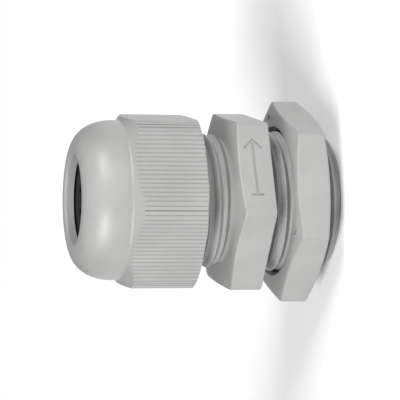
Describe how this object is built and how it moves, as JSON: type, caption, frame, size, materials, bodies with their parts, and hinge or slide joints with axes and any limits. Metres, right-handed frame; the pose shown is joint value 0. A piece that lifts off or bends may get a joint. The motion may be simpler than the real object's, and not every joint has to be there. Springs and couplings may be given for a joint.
{
  "type": "cable gland",
  "caption": "Round-domed plastic cable gland with hexagon flange, threaded stem, clamping claw, rubber seal and hexagon lock nut.",
  "frame": {"origin": "centre of the mounting thread's free end, which the part stands on", "axes": "+Z along the gland's axis, from the mounting thread towards the dome that the cable enters by; -Y is the side that the engraved arrow faces"},
  "size_m": [0.0296, 0.028, 0.0371],
  "materials": {
    "polyamide": "satin moulded, light grey",
    "seal_rubber": "smooth moulded, black"
  },
  "bodies": {
    "gland_body": {"gland_body": "polyamide"},
    "clamping_set": {"clamping_claw": "polyamide", "sealing_ring": "seal_rubber"},
    "dome_nut": {"dome_nut": "polyamide"},
    "lock_nut": {"lock_nut": "polyamide"}
  },
  "joints": [
    {"name": "clamp_travel", "type": "slide", "parent": "gland_body", "child": "clamping_set", "axis": [0, 0, 1], "range_m": [-0.00285, 0.00495]},
    {"name": "cap_turn", "type": "hinge", "parent": "clamping_set", "child": "dome_nut", "pos_m": [0, 0, 0.0287], "axis": [0, 0, 1], "range_deg": [-720, 1260]},
    {"name": "lock_nut_travel", "type": "slide", "parent": "gland_body", "child": "lock_nut", "axis": [0, 0, 1], "range_m": [-0.0063, 0.0029]}
  ],
  "couplings": [
    {"joint": "clamp_travel", "follows": "cap_turn", "m_per_rad": 0.00022458}
  ]
}
